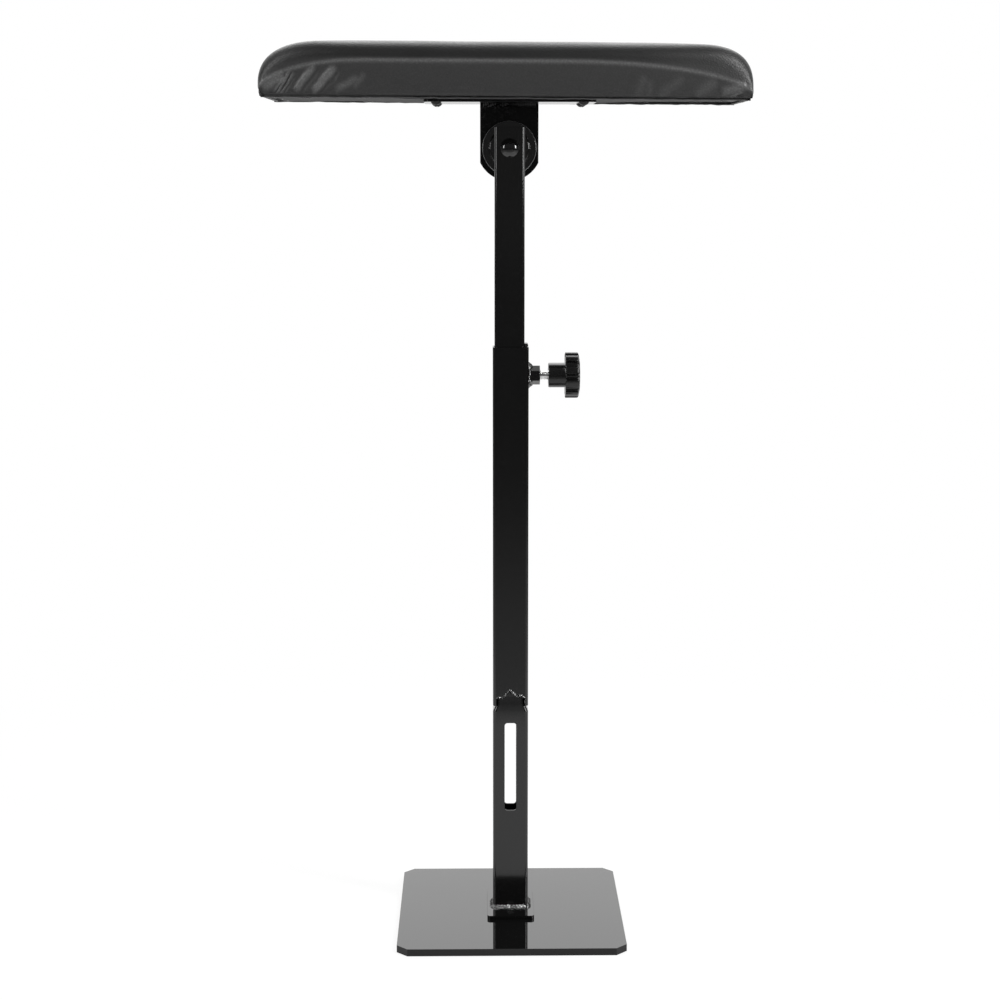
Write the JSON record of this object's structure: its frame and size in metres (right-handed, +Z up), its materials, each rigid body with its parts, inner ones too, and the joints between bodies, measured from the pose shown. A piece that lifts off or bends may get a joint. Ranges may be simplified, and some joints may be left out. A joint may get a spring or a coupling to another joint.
{
  "type": "tattoo arm rest stand",
  "caption": "Padded arm rest on a ratchet hinge, a telescopic mast with a side clamp knob, a slotted post and a flat steel base plate.",
  "frame": {"origin": "on the floor under the post axis, at the centre of the base plate", "axes": "+Z up, +X to the side with the clamp knob and along the pad, -Y to the front"},
  "size_m": [0.397, 0.19, 0.743],
  "materials": {
    "plate_gloss_black": "gloss",
    "tube_gloss_black": "gloss",
    "hinge_black": "satin",
    "weld_black": "satin",
    "shim_black": "satin",
    "zinc_steel": "satin",
    "spring_steel": "satin",
    "knob_plastic": "satin",
    "glide_plastic": "matte",
    "plywood": "matte",
    "foam": "matte",
    "black_leatherette": "satin",
    "lining_fabric": "matte"
  },
  "bodies": {
    "stand": {"base_plate": "plate_gloss_black", "foot_flange": "plate_gloss_black", "flange_screws": "zinc_steel", "foot_weld": "weld_black", "lower_post": "tube_gloss_black", "post_weld": "weld_black", "outer_tube": "tube_gloss_black", "weld_nut": "hinge_black", "nut_weld": "weld_black"},
    "clamp_shim": {"pressure_shim": "shim_black"},
    "clamp_knob": {"clamp_stud": "zinc_steel", "star_knob": "knob_plastic"},
    "mast": {"mast_tube": "tube_gloss_black", "glide_plug": "glide_plastic", "spacer_bush": "zinc_steel", "hinge_front_disc": "hinge_black", "hinge_rivet": "hinge_black", "hinge_washer": "zinc_steel", "pawl_pin": "spring_steel", "pawl_spring": "spring_steel"},
    "pawl": {"hinge_pawl": "spring_steel"},
    "pad": {"hinge_toothed_disc": "hinge_black", "tab_bracket": "plate_gloss_black", "bracket_weld": "weld_black", "mount_plate": "plate_gloss_black", "mount_screws": "zinc_steel", "pad_board": "plywood", "foam_core": "foam", "pad_cover": "black_leatherette", "underside_lining": "lining_fabric", "staples": "zinc_steel"}
  },
  "joints": [
    {"name": "height_slide", "type": "slide", "parent": "stand", "child": "mast", "axis": [0, 0, 1], "range_m": [-0.13, 0.075]},
    {"name": "pad_tilt", "type": "hinge", "parent": "mast", "child": "pad", "pos_m": [-0.001, 0, 0.6575], "axis": [0, 1, 0], "range_deg": [-45, 45]},
    {"name": "pawl_rock", "type": "hinge", "parent": "mast", "child": "pawl", "pos_m": [-0.0102, 0, 0.6531], "axis": [0, 1, 0], "range_deg": [0, 9]},
    {"name": "knob_spin", "type": "hinge", "parent": "clamp_shim", "child": "clamp_knob", "pos_m": [0.03, 0, 0.4695], "axis": [1, 0, 0], "range_deg": [0, 288]},
    {"name": "clamp_slide", "type": "slide", "parent": "stand", "child": "clamp_shim", "axis": [1, 0, 0], "range_m": [0, 0.001]}
  ],
  "couplings": [
    {"joint": "clamp_slide", "follows": "knob_spin", "m_per_rad": 0.00019894}
  ]
}
